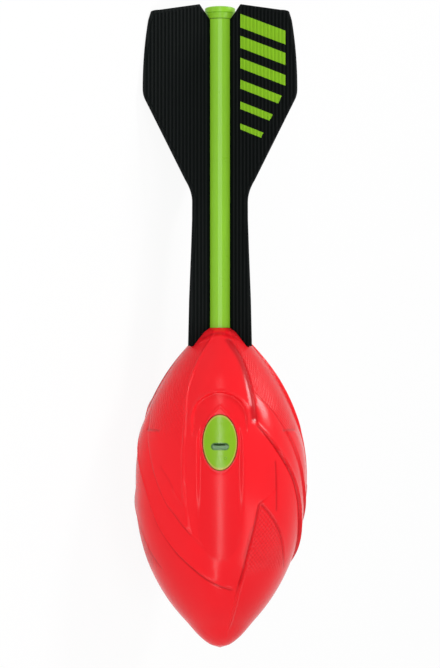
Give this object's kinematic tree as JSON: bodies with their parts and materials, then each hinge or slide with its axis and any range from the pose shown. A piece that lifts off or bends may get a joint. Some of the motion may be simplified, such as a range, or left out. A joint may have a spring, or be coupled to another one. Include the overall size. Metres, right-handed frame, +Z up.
{
  "type": "vortex throwing toy",
  "caption": "Pointed foam head with swirl panels and slotted oval whistles, on a slim railed tail shaft with ribbed sheet fins and an end cap.",
  "frame": {"origin": "on the floor under the middle of the toy's box, with the toy lying at rest on its belly and two fin tips", "axes": "+X towards the nose, +Y to the toy's left as it flies, +Z up, along the third fin"},
  "size_m": [0.3236, 0.0864, 0.0874],
  "materials": {
    "foam_red": "matte",
    "shaft_green": "satin",
    "whistle_green": "satin",
    "fin_black": "matte"
  },
  "bodies": {
    "root": {"foam_body": "foam_red", "tail_shaft": "shaft_green", "shaft_anchor": "shaft_green", "tail_cap": "shaft_green", "fin_upper": "fin_black", "fin_front": "fin_black", "fin_rear": "fin_black", "whistle_cap_front": "whistle_green", "whistle_cap_rear": "whistle_green", "whistle_cap_under": "whistle_green", "whistle_cup_front": "whistle_green", "whistle_cup_rear": "whistle_green", "whistle_cup_under": "whistle_green"}
  },
  "joints": []
}
